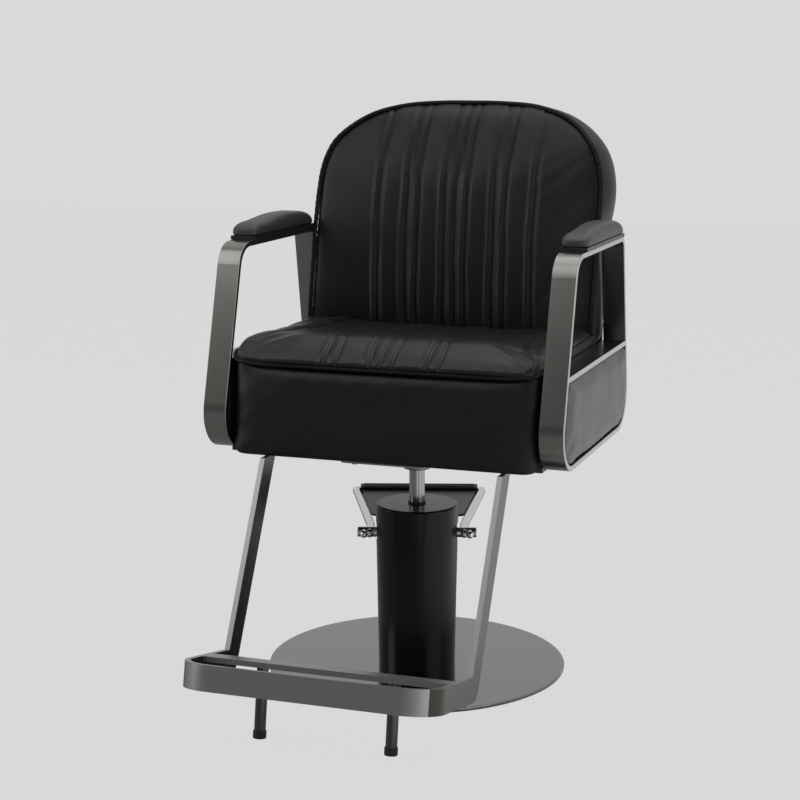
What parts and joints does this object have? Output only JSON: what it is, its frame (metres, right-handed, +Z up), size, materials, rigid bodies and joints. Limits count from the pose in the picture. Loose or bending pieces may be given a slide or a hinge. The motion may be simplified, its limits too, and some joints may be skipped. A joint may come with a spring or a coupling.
{
  "type": "styling chair",
  "caption": "Salon styling chair: padded seat and rolled back between bent flat-bar arms, on a round-base hydraulic pump with foot pedal, and a hung footrest ring.",
  "frame": {"origin": "centre of the round base where it meets the floor", "axes": "+Z up, the sitter faces -Y, +X is the sitter's left hand side"},
  "size_m": [0.652, 0.9341, 1.005],
  "materials": {
    "rubber": "matt moulded",
    "polished_disc": "polished stainless steel",
    "screw_steel": "zinc plated",
    "pump_black": "gloss black enamel",
    "pump_steel": "machined",
    "bush_brass": "machined",
    "bright_chrome": "chrome plated",
    "plate_black": "satin black",
    "dark_bar": "dark gunmetal plating, polished edges",
    "rail_black": "black",
    "black_leather": "semi-gloss upholstery vinyl",
    "foam": "upholstery foam, covered",
    "ply": "plywood, covered"
  },
  "bodies": {
    "base": {"floor_pad": "rubber", "base_disc": "polished_disc", "base_screws": "screw_steel", "pump_flange": "pump_steel", "pressure_cylinder": "pump_steel", "pump_sleeve": "pump_black", "pump_cap": "pump_black", "guide_bush": "bush_brass", "wiper_ring": "rubber", "shaft_brackets": "pump_steel", "shaft_bushes": "bush_brass", "plunger_block": "pump_steel"},
    "plunger": {"plunger": "pump_steel"},
    "lever": {"rocker_yoke": "pump_steel", "stub_shafts": "bright_chrome", "pedal_rods": "bright_chrome", "pedal_bar": "bright_chrome", "pedal_plate": "plate_black", "pedal_tread": "rubber"},
    "lift": {"piston": "bright_chrome", "piston_head": "pump_steel", "thrust_washer": "pump_steel", "retaining_washer": "screw_steel", "retaining_screw": "screw_steel"},
    "seat": {"socket_bush": "bush_brass", "seat_socket": "pump_steel", "mount_plate": "pump_steel", "mount_bolts": "screw_steel", "cross_rail_front": "rail_black", "cross_rail_rear": "rail_black", "seat_board": "ply", "seat_front_panel": "black_leather", "seat_core": "foam", "seat_cushion": "black_leather", "back_upright_left": "rail_black", "back_upright_right": "rail_black", "back_bolts": "screw_steel", "back_board": "ply", "back_rear_panel": "black_leather", "back_cushion": "black_leather", "left_side_frame": "dark_bar", "left_crossbar": "dark_bar", "left_panel_board": "ply", "left_side_panel": "black_leather", "left_arm_base": "plate_black", "left_arm_pad": "black_leather", "right_side_frame": "dark_bar", "right_crossbar": "dark_bar", "right_panel_board": "ply", "right_side_panel": "black_leather", "right_arm_base": "plate_black", "right_arm_pad": "black_leather", "arm_screws": "screw_steel", "hanger_left": "dark_bar", "hanger_right": "dark_bar", "footrest_frame": "dark_bar", "footrest_back_bar": "dark_bar", "footrest_leg_left": "bright_chrome", "footrest_leg_right": "bright_chrome", "leg_tips": "rubber"}
  },
  "joints": [
    {"name": "lift_slide", "type": "slide", "parent": "base", "child": "lift", "axis": [0, 0, 1], "range_m": [0, 0.15]},
    {"name": "seat_swivel", "type": "hinge", "parent": "lift", "child": "seat", "pos_m": [0, 0, 0.367], "axis": [0, 0, 1], "continuous": true},
    {"name": "pump_lever", "type": "hinge", "parent": "base", "child": "lever", "pos_m": [0, 0, 0.248], "axis": [-0.9511, -0.309, 0], "range_deg": [0, 25], "stiffness_Nm_per_rad": 7, "springref_deg": -45.84},
    {"name": "plunger_slide", "type": "slide", "parent": "base", "child": "plunger", "axis": [0, 0, -1], "range_m": [0, 0.0205]}
  ],
  "couplings": [
    {"joint": "plunger_slide", "follows": "pump_lever", "m_per_rad": 0.04649}
  ]
}
